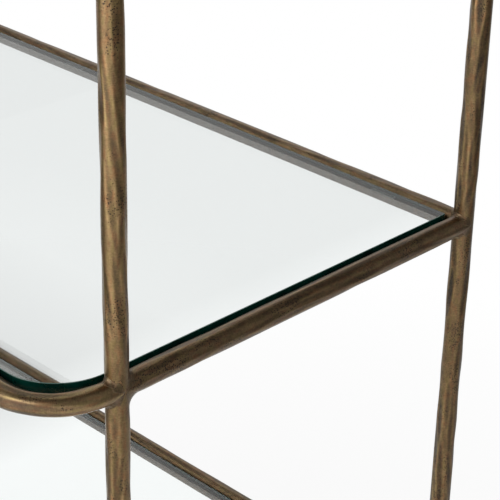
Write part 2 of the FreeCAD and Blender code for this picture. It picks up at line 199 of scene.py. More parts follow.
def hammered(length, rows, seed, depths, reaches, blows_per_metre, die_marks=()):
    """Radius and patina of a hammered bar, at rows places along it and COLUMNS places round it.

    A blow at place p and angle a cuts a flat. At s from p and t from a, the flat lies at
    (R - d + d (s / reach)^2) / cos t from the axis, with R the round bar and d the blow's depth.
    The radius is the least of R and all the flats. The patina is that of the flat that won.
    Depths and reaches are least and greatest in millimetres. A blow leans, so its flat winds a little
    round the bar. A die mark is a listed flat: place, angle, depth, reach and patina, no lean.
    """
    random = np.random.default_rng(seed)
    along = np.linspace(0, length, rows)
    radius = np.full((rows, COLUMNS), ROUND_RADIUS)
    patina = np.full((rows, COLUMNS), UNTOUCHED)
    blows = int(length * blows_per_metre)
    flats = [(length * (blow + random.uniform(-SCATTER, SCATTER)) / blows, random.uniform(0, 2 * np.pi),
              random.uniform(*depths) * MM, random.uniform(*reaches) * MM, random.uniform(0, 1),
              random.uniform(-MOST_LEAN, MOST_LEAN)) for blow in range(blows)]
    for place, angle, depth, reach, tone, lean in flats + [(*mark, 0.0) for mark in die_marks]:
        near = slice(*np.searchsorted(along, (place - reach, place + reach)))
        offset = along[near, None] - place
        swing = turn[None, :] - angle - lean * offset / ROUND_RADIUS
        swing = (swing + np.pi) % (2 * np.pi) - np.pi
        flat = (ROUND_RADIUS - depth + depth * (offset / reach) ** 2) / np.maximum(np.cos(swing), 0.2)
        won = flat < radius[near]
        radius[near] = np.where(won, flat, radius[near])
        patina[near] = np.where(won, tone, patina[near])
    return along, radius, patina


def fade(along, joints, reach):
    """0 near every joint, rising smoothly from 0.35 of reach to 1 at reach from it."""
    gap = np.min([np.abs(along - joint) for joint in joints], axis=0)
    share = np.clip((gap - 0.35 * reach) / (0.65 * reach), 0, 1)
    return (share * share * (3 - 2 * share))[:, None]


def soften(values, passes=1):
    """Average with the neighbours, columns joined round, rows held at the ends."""
    for _ in range(passes):
        values = (np.roll(values, 1, 1) + 2 * values + np.roll(values, -1, 1)) / 4
        inner = (values[:-2] + 2 * values[1:-1] + values[2:]) / 4
        values = np.concatenate([values[:1], inner, values[-1:]])
    return values


print("a hammered bar has", COLUMNS, "points round it, every %.0f mm" % (ROW_STEP / MM))

# %% What the finish reads
PROUD_STEP = 0.04 * MM


def finish_numbers(along, radius, patina, seed, contrast, rubbing_and_shade=0.0):
    """What the bronze reads: place on the unbent bar, patina of the flat, and how proud a spot stands.

    Proud is the radius less its own softened self, in steps of PROUD_STEP. Contrast scales it and the
    patina's distance from 0.5. The last number is added to the patina: above 0 it is real rubbing that
    brightens it, and below 0 it is painted shade that darkens it.
    """
    shift = np.random.default_rng(seed + 7).uniform(-3, 3, 3)
    place = np.stack([BAR_RADIUS * np.cos(turn)[None, :] + 0 * radius,
                      BAR_RADIUS * np.sin(turn)[None, :] + 0 * radius,
                      along[:, None] + 0 * radius], axis=-1) + shift
    proud = radius - soften(radius, 2)
    return {"bar_place": place, "patina": 0.5 + contrast * (soften(patina) - 0.5) + rubbing_and_shade,
            "proud": contrast * proud / PROUD_STEP}


# Depths and reaches in mm, and blows per metre.
POST_BLOWS = (0.36, 0.74), (20, 42), 150
RING_BLOWS = (0.16, 0.46), (22, 46), 130
POST_CONTRAST, BAR_CONTRAST = 0.7, 0.5
print("blows per metre of post:", POST_BLOWS[2])

# %% [markdown]
# ## The bronze finish
#
# Patina is a thin dark skin on the metal, so the bronze is metal everywhere and only its colour and
# gloss change. The colour comes from which flat the spot is on, whether it stands proud, where the
# rag reached it, and a fine grain along the bar. Small dark pits gather in patches, and in
# places the file has left short marks across the bar.

# %% Node helpers
def add_node(tree, kind, inputs=None, **settings):
    """One shader node: a setting is a plain value, and an input is a plain value or another socket."""
    node = tree.nodes.new("ShaderNode" + kind)
    for key, value in settings.items():
        setattr(node, key, value)
    for key, value in (inputs or {}).items():
        if isinstance(value, bpy.types.NodeSocket):
            tree.links.new(value, node.inputs[key])
        else:
            node.inputs[key].default_value = value
    return node


def add_sum(tree, operation, *terms):
    """Result of one Math node."""
    return add_node(tree, "Math", dict(enumerate(terms)), operation=operation).outputs[0]


def add_ramp(tree, factor, stops):
    """Colour ramp with its stops given as (place, colour)."""
    node = add_node(tree, "ValToRGB", {"Fac": factor})
    ramp = node.color_ramp
    while len(ramp.elements) < len(stops):
        ramp.elements.new(1.0)
    for element, (place, colour) in zip(ramp.elements, stops):
        element.position = place
        element.color = (*colour, 1)
    return node.outputs["Color"]


def add_range(tree, value, low, high, to_low=0.0, to_high=1.0):
    """Value spread from low..high to to_low..to_high, held at the ends."""
    inputs = {"Value": value, "From Min": low, "From Max": high, "To Min": to_low, "To Max": to_high}
    return add_node(tree, "MapRange", inputs).outputs[0]


def add_noise(tree, place, scale, detail, roughness=0.5, distortion=0.0):
    """Value of a noise texture."""
    inputs = {"Vector": place, "Scale": scale, "Detail": detail, "Roughness": roughness,
              "Distortion": distortion}
    return add_node(tree, "TexNoise", inputs).outputs["Fac"]


def object_place(tree):
    """Place on the piece, in its own coordinates."""
    return add_node(tree, "TexCoord").outputs["Object"]


def new_finish(name, kind=bpy.data.materials):
    """Empty material, or a world where kind is bpy.data.worlds, and its node tree."""
    finish = kind.new(name)
    finish.use_nodes = True
    finish.node_tree.nodes.clear()
    return finish, finish.node_tree


def add_surface(tree, inputs, volume=None):
    """Principled surface and the material's output, with a volume inside where one is given."""
    sockets = {"Surface": add_node(tree, "BsdfPrincipled", inputs).outputs[0]}
    if volume:
        sockets["Volume"] = volume
    add_node(tree, "OutputMaterial", sockets)


def linear(red, green, blue):
    """Linear colour from the 0 to 255 numbers of a screen colour."""
    shares = np.array([red, green, blue]) / 255
    curve = ((shares + 0.055) / 1.055) ** 2.4
    return tuple(float(v) for v in np.where(shares <= 0.04045, shares / 12.92, curve))


print("middle grey reflects %.2f of the light" % linear(128, 128, 128)[0])

# %% Hammered bronze
def make_bronze(name, dark, middle, bright, roughness, wear=1.0):
    """Patinated bronze: dark in hollows, bright on rubbed ridges. Wear scales its pits and file marks."""
    finish, tree = new_finish(name)
    place = add_node(tree, "Attribute", attribute_name="bar_place").outputs["Vector"]
    flat_tone = add_node(tree, "Attribute", attribute_name="patina").outputs["Fac"]
    proud = add_node(tree, "Attribute", attribute_name="proud").outputs["Fac"]

    drawn = add_node(tree, "Mapping", {"Vector": place, "Scale": (1.0, 1.0, 0.42)}).outputs[0]
    combed = add_node(tree, "Mapping", {"Vector": place, "Scale": (0.22, 0.22, 1.5)}).outputs[0]
    cloud = add_noise(tree, drawn, 170.0, 4.0, roughness=0.6)
    grain = add_noise(tree, place, 760.0, 4.0, roughness=0.7)
    streak = add_noise(tree, combed, 1100.0, 2.0)
    warm = add_noise(tree, drawn, 330.0, 3.0)
    patches = add_noise(tree, drawn, 88.0, 2.0)
    pit_cell = add_node(tree, "TexVoronoi", {"Vector": place, "Scale": 720.0})
    pit_shape = add_range(tree, pit_cell.outputs["Distance"], 0.16, 0.42, wear, 0.0)
    pit_patch = add_range(tree, patches, 0.52, 0.62)
    pits = add_sum(tree, "MULTIPLY", pit_shape, pit_patch)

    across = add_node(tree, "TexWave", {"Vector": place, "Scale": 210.0, "Distortion": 5.0, "Detail": 3.0,
                                        "Detail Scale": 2.0}, bands_direction="Z").outputs["Fac"]
    file_patch = add_range(tree, patches, 0.44, 0.36, 0.0, wear)
    file_marks = add_sum(tree, "MULTIPLY", across, file_patch)

    tone = add_sum(tree, "MULTIPLY_ADD", flat_tone, 0.18, 0.30)
    for change in ((proud, -1.0, 1.0, -0.14, 0.38), (cloud, 0.3, 0.7, -0.10, 0.10),
                   (grain, 0.3, 0.7, -0.13, 0.13), (streak, 0.3, 0.7, -0.06, 0.06)):
        tone = add_sum(tree, "ADD", tone, add_range(tree, *change))
    tone = add_sum(tree, "SUBTRACT", tone, add_sum(tree, "MULTIPLY", pits, 0.8))
    tone = add_sum(tree, "SUBTRACT", tone, add_sum(tree, "MULTIPLY", file_marks, 0.09))
    colour = add_ramp(tree, tone, [(0.0, linear(*dark)), (0.42, linear(*middle)), (0.95, linear(*bright))])
    hue = add_ramp(tree, warm, [(0.36, (0.94, 1.0, 0.86)), (0.5, (1.0, 1.0, 1.0)),
                                (0.66, (1.08, 0.90, 0.84))])
    colour = add_node(tree, "VectorMath", {0: colour, 1: hue}, operation="MULTIPLY").outputs["Vector"]

    height = add_sum(tree, "ADD", add_sum(tree, "MULTIPLY", grain, 0.6),
                     add_sum(tree, "MULTIPLY", streak, 0.3))
    height = add_sum(tree, "SUBTRACT", height, pits)
    height = add_sum(tree, "SUBTRACT", height, add_sum(tree, "MULTIPLY", file_marks, 0.25))
    dents = add_node(tree, "Bump", {"Height": cloud, "Strength": 0.6, "Distance": 0.18 * MM})
    bump = add_node(tree, "Bump", {"Height": height, "Strength": 0.6, "Distance": 0.10 * MM,
                                   "Normal": dents.outputs[0]})
    rough = add_sum(tree, "ADD", add_range(tree, tone, 0.0, 1.0, roughness + 0.12, roughness - 0.06),
                    add_range(tree, streak, 0.3, 0.7, -0.05, 0.05))
    add_surface(tree, {
        "Base Color": colour, "Metallic": 1.0, "Roughness": rough, "Normal": bump.outputs[0],
        "Coat Weight": 0.7, "Coat Roughness": 0.32, "Coat IOR": 1.45})
    return finish


post_bronze = make_bronze("post_bronze", (61, 46, 29), (134, 107, 70), (192, 159, 110), 0.36)
ring_bronze = make_bronze("ring_bronze", (49, 38, 27), (113, 90, 62), (182, 152, 107), 0.35)
weld_bronze = make_bronze("weld_bronze", (54, 42, 30), (116, 94, 66), (180, 154, 118), 0.44, wear=0.2)
ledge_bronze = make_bronze("ledge_bronze", (56, 47, 36), (98, 82, 62), (144, 122, 90), 0.46)
print("made", post_bronze.name, ring_bronze.name, weld_bronze.name, ledge_bronze.name)

# %% [markdown]
# ## Posts
#
# Each post is one surface of rows. They start at the bottom of the tapped hole for the foot, run down
# its wall, out across the bevelled end, up the hammered outside and over the rounded crown. Near a
# ring the hammering fades to the plain round, so that the weld meets clean metal.

# %% Post surface
HOLE_RADIUS = 3.08 * MM
HOLE_DEPTH = 28 * MM
CROWN = 5 * MM
CROWN_ROWS = 8
BEVEL = 1 * MM
POST_FADE = 30 * MM
# The rear posts' patina is darkened: painted shade, because less light reaches the back of the piece.
REAR_POST_SHADE = -0.9


def post_grid(low, high, seed):
    """Rows of a post: hole wall, bevel, hammered side, crown. Each row is (radius round it, height)."""
    length = high - low
    rows = int(length / ROW_STEP) + 1
    along, radius, patina = hammered(length, rows, seed, *POST_BLOWS)
    heights = low + along
    radius = BAR_RADIUS + (radius - BAR_RADIUS) * fade(heights, ring_height.values(), POST_FADE)
    radius = soften(radius)
    body_rows = (along > BEVEL) & (along < length - CROWN)
    swing = np.linspace(0, np.pi / 2, CROWN_ROWS + 1)[:-1]
    crown_cut = CROWN * (1 - np.cos(swing))
    crown_height = high - CROWN + CROWN * np.sin(swing)
    hole = np.array([(0.3 * HOLE_RADIUS, low + HOLE_DEPTH), (HOLE_RADIUS, low + HOLE_DEPTH),
                     (HOLE_RADIUS, low + HOLE_DEPTH / 2), (HOLE_RADIUS, low)])
    hole_radius = np.repeat(hole[:, :1], COLUMNS, axis=1)
    bevel_radius = np.stack([radius[0] - BEVEL, radius[1]])
    crown_radius = radius[-4][None, :] - crown_cut[:, None]
    all_radius = np.concatenate([hole_radius, bevel_radius, radius[body_rows], crown_radius,
                                 0.5 * crown_radius[-1:]])
    all_height = np.concatenate([hole[:, 1], [low, low + BEVEL], heights[body_rows], crown_height, [high]])
    tone = np.concatenate([np.zeros((len(hole) + len(bevel_radius), COLUMNS)), patina[body_rows],
                           np.repeat(patina[-4:-3], CROWN_ROWS + 1, axis=0)])
    return all_radius, all_height, tone


def make_post(corner, seed):
    """Hammered post on its axis. On the rear posts a darker patina is painted shade."""
    low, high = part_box("post_" + corner)
    radius, heights, patina = post_grid(low.z, high.z, seed)
    grid = turned_grid(radius, heights, post_axis[corner])
    # Rear posts: painted shade, a darker patina for the dimmer light at the back.
    rubbing_and_shade = REAR_POST_SHADE if corner.startswith("rear") else 0.0
    numbers = finish_numbers(heights, radius, patina, seed, POST_CONTRAST, rubbing_and_shade)
    mesh = mesh_from_grids("post_" + corner, [grid], [numbers])
    return place_piece("hammered_post_" + corner, mesh, "frame", "post_bar", post_bronze, "post_" + corner)


POST_SEEDS = {"front_left": 121, "front_right": 1696, "rear_left": 122, "rear_right": 2232}
for corner, seed in POST_SEEDS.items():
    post = make_post(corner, seed)
print("posts have", len(post.data.polygons), "faces each")

# %% [markdown]
# ## Ring bars
#
# The front bar is one length of bar bent round both front corners, so its surface is worked out on a
# straight bar first and then carried along the bent centre line. Side bars and back bar run straight.
# Every end stops on a post's axis, where the post's own round hides it.

# %% Bars carried along a centre line
def carried_grid(centres, tangents, radius):
    """Points at the centre plus radius times (cos t across + sin t up), with across = up x tangent."""
    up = np.array([0.0, 0.0, 1.0])
    across = np.cross(up, tangents)
    return centres[:, None, :] + radius[..., None] * (
        np.cos(turn)[None, :, None] * across[:, None, :] + np.sin(turn)[None, :, None] * up)


BAR_FADE, SAG_FADE, RUB_FADE = 26 * MM, 40 * MM, 60 * MM


def ring_bar(which, shelf, length, path, seed, die_marks=(), sag=0.0, forged=None):
    """One hammered ring bar: path(along) gives the centre line and its direction in the ring's plane.

    Forged holds distances from either end in millimetres, and the share of the radius at each.
    A forged bar also sags between its welds, and rubbing leaves it brighter near its ends.
    """
    rows = int(length / ROW_STEP) + 1
    along, radius, patina = hammered(length, rows, seed, *RING_BLOWS, die_marks)
    ends = (0, length)
    radius = BAR_RADIUS + (radius - BAR_RADIUS) * fade(along, ends, BAR_FADE)
    if forged:
        radius = radius * np.interp(np.minimum(along, length - along) / MM, *forged)[:, None]
    centres, tangents = path(along)
    heights = ring_height[shelf] - sag * fade(along, ends, SAG_FADE)
    centres = np.concatenate([centres, heights], axis=1)
    tangents = np.concatenate([tangents, np.zeros((rows, 1))], axis=1)
    rubbing_and_shade = 1 - fade(along, ends, RUB_FADE) if forged else 0.0
    radius = soften(radius)
    numbers = finish_numbers(along, radius, patina, seed, BAR_CONTRAST, rubbing_and_shade)
    name = "hammered_%s_%d" % (which, shelf)
    mesh = mesh_from_grids(name, [carried_grid(centres, tangents, radius)], [numbers])
    place_piece(name, mesh, "frame", "ring_bar", ring_bronze, "shelf_%d_%s" % (shelf, which))


print("hammering starts to fade %.0f mm from a weld" % (BAR_FADE / MM))

# %% Centre lines and ring bars
BEND = 49 * MM
LEAD = FRONT_Y - FRONT_BAR_Y - BEND
STRAIGHT = 2 * (RIGHT - BEND)
ARC = BEND * math.pi / 2


def bent_path(along):
    """Front bar's line from the right post: lead, quarter turn, straight, quarter turn, lead."""
    first = np.clip((along - LEAD) / BEND, 0, math.pi / 2)
    second = np.clip((along - LEAD - ARC - STRAIGHT) / BEND, 0, math.pi / 2)
    run = np.clip(along - LEAD - ARC, 0, STRAIGHT)
    back = np.clip(along - LEAD - 2 * ARC - STRAIGHT, 0, LEAD)
    x = RIGHT - BEND * (1 - np.cos(first)) - run - BEND * np.sin(second)
    y = FRONT_Y - np.clip(along, 0, LEAD) - BEND * np.sin(first) + BEND * (1 - np.cos(second)) + back
    way = first + second
    return np.stack([x, y], axis=1), np.stack([-np.sin(way), -np.cos(way)], axis=1)


def straight_path(start, heading):
    """Line from start in one heading."""
    def path(along):
        line = np.array(start)[None, :] + along[:, None] * np.array(heading)[None, :]
        return line, np.repeat(np.array([heading], dtype=float), len(along), axis=0)
    return path


FRONT_LENGTH = 2 * LEAD + 2 * ARC + STRAIGHT
FROM_END = 72 * MM
SAG = 0.8 * MM
FORGED = ([0, 15, 45, 62, 82, 92, 110, 140], [1.0, 1.0, 0.95, 0.95, 1.06, 1.10, 1.04, 1.0])
# Angle in degrees, depth and reach in mm, patina.
DIE_MARKS = (8, 0.85, 46, 0.5), (78, 0.55, 44, 0.0), (118, 0.85, 48, 0.10)
die_marks = [(place, math.radians(angle), depth * MM, reach * MM, tone)
             for place in (FROM_END, FRONT_LENGTH - FROM_END) for angle, depth, reach, tone in DIE_MARKS]
for shelf in SHELVES:
    ring_bar("front_bar", shelf, FRONT_LENGTH, bent_path, 200 + shelf, die_marks, SAG, FORGED)
    for side, x in (("left", -RIGHT), ("right", RIGHT)):
        ring_bar("side_bar_" + side, shelf, REAR_Y - FRONT_Y, straight_path((x, FRONT_Y), (0, 1)),
                 300 + 10 * shelf + (side == "left"))
    ring_bar("back_bar", shelf, 2 * RIGHT, straight_path((-RIGHT, REAR_Y), (1, 0)), 400 + shelf)
print("front bar is %.0f mm long along its bends" % (FRONT_LENGTH / MM))

# %% [markdown]
# ## Dressed welds
#
# Two round bars of one size cross in a seam that is deepest on top and dies away at the sides, where
# the bars lie flush. A ball that rolls along the seam and touches both bars sweeps out the weld that a
# file and a wheel leave. At a square corner three such seams meet in a point, and the ball's own shape
# closes the gap between them.

# %% Rolling-ball welds
FLUSH_BALL = 14 * MM
STRIP_ROWS = 41
FACE_STEPS = 13
ROOT_SHARE = 0.88


def weld_strip(start, stop, ball, seed):
    """Grid of one weld between bars along the first and third local axes.

    At angle a the seam lies at R (sin a, cos a, sin a) and the ball's middle at (R + b) times that.
    The ball touches the bars straight towards their axes, and the arc between is the weld's face.
    One more point on each row lies inside both bars and closes the weld behind. The ball's size b
    wavers a little along the seam, and grows to FLUSH_BALL where the bars lie flush.
    """
    angle = np.linspace(start, stop, STRIP_ROWS)
    wobble = np.random.default_rng(seed).normal(0, 1, (4, 1))
    strengths = np.array([[0.5], [0.4], [0.3], [0.2]])
    waves = np.sin(np.outer([2.0, 3.0, 5.0, 7.0], angle) * 2 + wobble * 3) * strengths
    size = (ball * (1 + 0.07 * waves.sum(axis=0)))[:, None]
    flush = np.clip((np.abs(np.cos(angle)) - math.sqrt(0.5)) / (1 - math.sqrt(0.5)), 0, 1)[:, None]
    size = size + (FLUSH_BALL - size) * flush * flush * (3 - 2 * flush)
    seam = np.stack([np.sin(angle), np.cos(angle), np.sin(angle)], axis=-1)
    middle = (BAR_RADIUS + size) * seam
    to_first = seam * np.array([0.0, -1.0, -1.0])
    to_second = seam * np.array([-1.0, -1.0, 0.0])
    spread = np.arccos(np.clip(np.cos(angle) ** 2, -1, 1))[:, None, None]
    step = np.linspace(0, 1, FACE_STEPS)[None, :, None]
    safe = np.maximum(np.sin(spread), 1e-6)
    facing = (np.sin((1 - step) * spread) * to_first[:, None, :]
              + np.sin(step * spread) * to_second[:, None, :]) / safe
    face = middle[:, None, :] + size[:, None, :] * facing
    root = ROOT_SHARE * BAR_RADIUS * seam[:, None, :]
    return np.concatenate([face, root], axis=1)


def weld_corner(ball):
    """Grid of the ball's own face between three seams: directions blended, then brought to length 1."""
    toward = np.array([(0.0, -1.0, -1.0), (-1.0, 0.0, -1.0), (-1.0, -1.0, 0.0)]) / math.sqrt(2)
    out = np.linspace(0, 1, FACE_STEPS)[:, None, None]
    step = np.linspace(0, 1, FACE_STEPS)[None, :, None]
    blend = (1 - out) * toward[0] + out * ((1 - step) * toward[1] + step * toward[2])
    facing = blend / np.linalg.norm(blend, axis=-1, keepdims=True)
    middle = (BAR_RADIUS + ball) * np.ones(3) / math.sqrt(2)
    face = middle + ball * facing
    root = np.repeat(ROOT_SHARE * BAR_RADIUS * np.ones((1, 1, 3)) / math.sqrt(2), len(face), axis=0)
    return np.concatenate([face, root], axis=1)


def set_at(grid, origin, first, second, third):
    """Local grid turned to three world axes; its columns are turned round where those axes mirror it."""
    axes = np.array([first, second, third], dtype=float)
    placed = np.array(origin) + grid @ axes
    return placed if np.linalg.det(axes) > 0 else placed[:, ::-1]


print("a strip of weld has", STRIP_ROWS, "rows")

# %% Welds of every ring
def weld_numbers(grid, seed):
    """Numbers that the bronze reads on a weld: flat, but a little darker towards a strip's two ends."""
    shift = np.random.default_rng(seed).uniform(-3, 3, 3)
    crossing = np.clip(np.abs(np.linspace(-1, 1, len(grid))) * 2 - 1, 0, 1)[:, None]
    patina = 0.5 - 0.3 * crossing + np.zeros(grid.shape[:2])
    return {"bar_place": grid + shift, "patina": patina, "proud": np.full(grid.shape[:2], -0.05)}


X, Y, Z = np.eye(3)
FROM_SIDE = 0.02
LAST = math.pi - FROM_SIDE
# The rolling ball: at the front bar's end, at the side bar above and below, in the corners.
FRONT_BALL, ABOVE_BALL, BELOW_BALL, CORNER_BALL = 4.0 * MM, 6.0 * MM, 11.0 * MM, 3.0 * MM
for shelf in SHELVES:
    grids = []
    for side, x in ((-1, -RIGHT), (1, RIGHT)):
        front = (x, FRONT_Y, ring_height[shelf])
        rear = (x, REAR_Y, ring_height[shelf])
        inwards = -side * X
        for up, beside in ((Z, ABOVE_BALL), (-Z, BELOW_BALL)):
            seed = 500 + 40 * shelf + 10 * side + int(up[2])
            strips = [(front, (-Y, X, up), FROM_SIDE, LAST, FRONT_BALL),
                      (front, (Y, X, up), FROM_SIDE, LAST, beside),
                      (rear, (inwards, -Y, up), math.pi / 4, LAST, CORNER_BALL),
                      (rear, (-Y, inwards, up), math.pi / 4, LAST, CORNER_BALL),
                      (rear, (inwards, up, -Y), math.pi / 4, math.pi / 2, CORNER_BALL)]
            for number, (origin, axes, start, stop, ball) in enumerate(strips):
                grids.append(set_at(weld_strip(start, stop, ball, seed + number), origin, *axes))
            grids.append(set_at(weld_corner(CORNER_BALL), rear, inwards, -Y, up))
    numbers = [weld_numbers(grid, seed) for seed, grid in enumerate(grids)]
    mesh = mesh_from_grids("welds_%d" % shelf, grids, numbers)
    place_piece("dressed_welds_%d" % shelf, mesh, "frame", "weld", weld_bronze, "shelf_%d_welds" % shelf)
print("each ring has", len(grids), "strips and corners of weld")

# %% [markdown]
# ## Ledges and pads
#
# A 6 mm square bar runs inside the front bar and inside the back bar, just below the glass. Bought
# square bar has slightly rounded edges, so its section is a square with four small arcs. Soft clear
# pads lie on it and keep the glass off the metal.

# %% Square ledges
LEDGE_EDGE = 0.6 * MM
LEDGE_ROWS = 180
END_BEVEL = 0.5 * MM
QUARTERS = ((1, 1), (-1, 1), (-1, -1), (1, -1))


def square_section(half_width, half_height, edge):
    """Closed outline of a rectangle whose corners are quarter circles."""
    swing = np.linspace(0, math.pi / 2, 5)
    arcs = []
    for quarter, (side, level) in enumerate(QUARTERS):
        angle = swing + quarter * math.pi / 2
        arcs.append(np.stack([side * (half_width - edge) + edge * np.cos(angle),
                              level * (half_height - edge) + edge * np.sin(angle)], axis=-1))
    return np.concatenate(arcs)


def make_ledge(node, seed):
    """Square bar along X in place of a CAD node, up to 1.2 % thinner here and there from the rolls."""
    low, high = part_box(node)
    section = square_section((high.y - low.y) / 2, (high.z - low.z) / 2, LEDGE_EDGE)
    ends = np.array([0.0, END_BEVEL])
    along = np.concatenate([low.x + ends, np.linspace(low.x, high.x, LEDGE_ROWS)[1:-1],
                            high.x - ends[::-1]])
    random = np.random.default_rng(seed)
    thin = 1 - 0.012 * np.abs(np.sin(along * 90 + random.uniform(0, 6)) * np.sin(along * 37))
    thin[[0, -1]] = 0.84
    middle = (low + high) / 2
    flat = section[None, :, :] * thin[:, None, None]
    grid = np.stack([np.repeat(along[:, None], len(section), axis=1), middle.y + flat[..., 0],
                     middle.z + flat[..., 1]], axis=-1)
    numbers = {"bar_place": grid + random.uniform(-3, 3, 3), "patina": np.full(grid.shape[:2], 0.4),
               "proud": np.zeros(grid.shape[:2])}
    mesh = mesh_from_grids(node, [grid], [numbers])
    return place_piece("square_" + node, mesh, "frame", "ledge", ledge_bronze, node)


for shelf in SHELVES:
    for row in ("front", "rear"):
        ledge = make_ledge("shelf_%d_ledge_%s" % (shelf, row), 700 + shelf)
print("ledge faces:", len(ledge.data.polygons))

# %% Clear pads
def make_clear_vinyl():
    """Cloudy clear vinyl, a little uneven in colour and gloss."""
    finish, tree = new_finish("clear_vinyl")
    cloud = add_noise(tree, object_place(tree), 300.0, 3.0)
    colour = add_ramp(tree, cloud, [(0.3, linear(206, 208, 202)), (0.7, linear(226, 227, 222))])
    add_surface(tree, {
        "Base Color": colour, "Roughness": add_range(tree, cloud, 0.3, 0.7, 0.25, 0.4), "IOR": 1.5,
        "Transmission Weight": 0.8})
    return finish


clear_vinyl = make_clear_vinyl()
for shelf in SHELVES:
    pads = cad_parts["shelf_%d_pads" % shelf]
    pads.data.materials.clear()
    pads.data.materials.append(clear_vinyl)
print("pads on", len(SHELVES), "shelves")

# %% [markdown]
# ## Glass panes
#
# Float glass is clear through its face and dark green through its edge, because light that enters the
# edge travels a long way inside. So the pane is a closed solid that bends light and soaks up a little
# of it per metre, less of the green. The real edge is ground, not clear, so a thin satin skin lies over
# it. The skin is nearly black on the flat. On the top bevel, called the arris, it is pale: a painted
# highlight where the arris catches the light.

# %% Float glass
def make_float_glass():
    """Clear glass with a faint film of wipe marks, and green soaked up by the metre inside."""
    finish, tree = new_finish("float_glass")
    film = add_noise(tree, object_place(tree), 9.0, 5.0, distortion=0.8)
    inside = add_node(tree, "VolumeAbsorption", {"Color": (0.0, 0.66, 0.58, 1.0), "Density": 4.0})
    add_surface(tree, {
        "Base Color": (0.962, 0.966, 0.962, 1.0), "Roughness": add_range(tree, film, 0.45, 0.75, 0.0, 0.02),
        "IOR": 1.52, "Transmission Weight": 1.0}, volume=inside.outputs[0])
    return finish


float_glass = make_float_glass()
print("made", float_glass.name)

# %% Pane outline
GLASS_CORNER = 45 * MM
EASED = 1.2 * MM
ARRIS = 0.4 * MM


def pane_outline(low, high, inset):
    """Plan of a pane, inset all round: front corners of large radius, rear ones eased."""
    arcs = []
    for quarter, (side, depth) in enumerate(QUARTERS):
        x = high.x if side > 0 else low.x
        y, radius, steps = (high.y, EASED, 7) if depth > 0 else (low.y, GLASS_CORNER, 49)
        swing = (quarter + np.linspace(0, 1, steps)) * math.pi / 2
        arcs.append(np.stack([x - side * radius + (radius - inset) * np.cos(swing),
                              y - depth * radius + (radius - inset) * np.sin(swing)], axis=-1))
    return np.concatenate(arcs)


def pane_rings(low, high, levels):
    """The outline at each level's inset and height, as one array of rings."""
    outlines = [(pane_outline(low, high, inset), z) for inset, z, *_ in levels]
    return np.stack([np.column_stack([outline, np.full(len(outline), z)]) for outline, z in outlines])


# %% Ground edge
def make_ground_edge():
    """Dark green satin edge: nearly black where bevel is 0, pale and matt where it is 1.

    The pale top arris is a painted highlight.
    """
    finish, tree = new_finish("ground_edge")
    place = object_place(tree)
    bevel = add_node(tree, "Attribute", attribute_name="bevel").outputs["Fac"]
    cloud = add_noise(tree, place, 60.0, 3.0)
    dust = add_noise(tree, place, 2400.0, 2.0)
    depth = add_sum(tree, "ADD", add_sum(tree, "MULTIPLY", bevel, 0.62),
                    add_range(tree, cloud, 0.3, 0.7, 0.0, 0.30))
    # The pale stops at 0.62 and 1.0 are the painted highlight of the top arris.
    colour = add_ramp(tree, depth, [(0.0, linear(1, 30, 26)), (0.3, linear(2, 66, 56)),
                                    (0.62, linear(104, 138, 130)), (1.0, linear(160, 186, 178))])
    bump = add_node(tree, "Bump", {"Height": dust, "Strength": 0.3, "Distance": 0.02 * MM})
    add_surface(tree, {
        "Base Color": colour, "IOR": 1.52, "Normal": bump.outputs[0],
        "Roughness": add_range(tree, bevel, 0.0, 1.0, 0.12, 0.45)})
    return finish


ground_edge = make_ground_edge()
print("made", ground_edge.name)

# %% Edge skins and panes
def make_edge_skin(shelf):
    """Skin over a pane's edge: down the top bevel, the flat and the bottom bevel, and back up inside.

    Each row of its profile is (inset, height, bevel), and the last one joins the first. Bevel 1 is the
    top arris, where the finish paints a highlight.
    """
    low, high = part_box("shelf_%d_glass" % shelf)
    out, back, hair = 0.02 * MM, 0.30 * MM, 0.01 * MM
    profile = [(ARRIS, high.z - hair, 1), (0.3 * ARRIS, high.z - 0.7 * ARRIS, 1),
               (-out, high.z - ARRIS, 0.3), (-out, high.z - 1.3 * ARRIS, 0),
               (-out, low.z + 1.3 * ARRIS, 0), (-out, low.z + ARRIS, 0),
               (0.3 * ARRIS, low.z + 0.7 * ARRIS, 0), (ARRIS, low.z + hair, 0),
               (ARRIS + 0.05 * MM, low.z + 0.1 * MM, 0), (back, low.z + ARRIS, 0),
               (back, high.z - ARRIS, 0), (ARRIS + 0.05 * MM, high.z - 0.1 * MM, 0)]
    rings = pane_rings(low, high, profile)
    corner = np.arange(rings.size // 3).reshape(rings.shape[:2])
    below, beside = np.roll(corner, -1, axis=0), np.roll(corner, -1, axis=1)
    quads = np.stack([corner, below, np.roll(below, -1, axis=1), beside], axis=-1).reshape(-1, 4)
    mesh = bpy.data.meshes.new("ground_edge")
    mesh.from_pydata(rings.reshape(-1, 3).tolist(), [], quads.tolist())
    mesh.polygons.foreach_set("use_smooth", np.ones(len(mesh.polygons), dtype=bool))
    layer = mesh.attributes.new("bevel", "FLOAT", "POINT")
    shares = np.repeat([share for *_, share in profile], rings.shape[1])
    layer.data.foreach_set("value", shares.astype(np.float32))
    return place_piece("ground_edge_%d" % shelf, mesh, "pane_%d" % shelf, "glass", ground_edge)


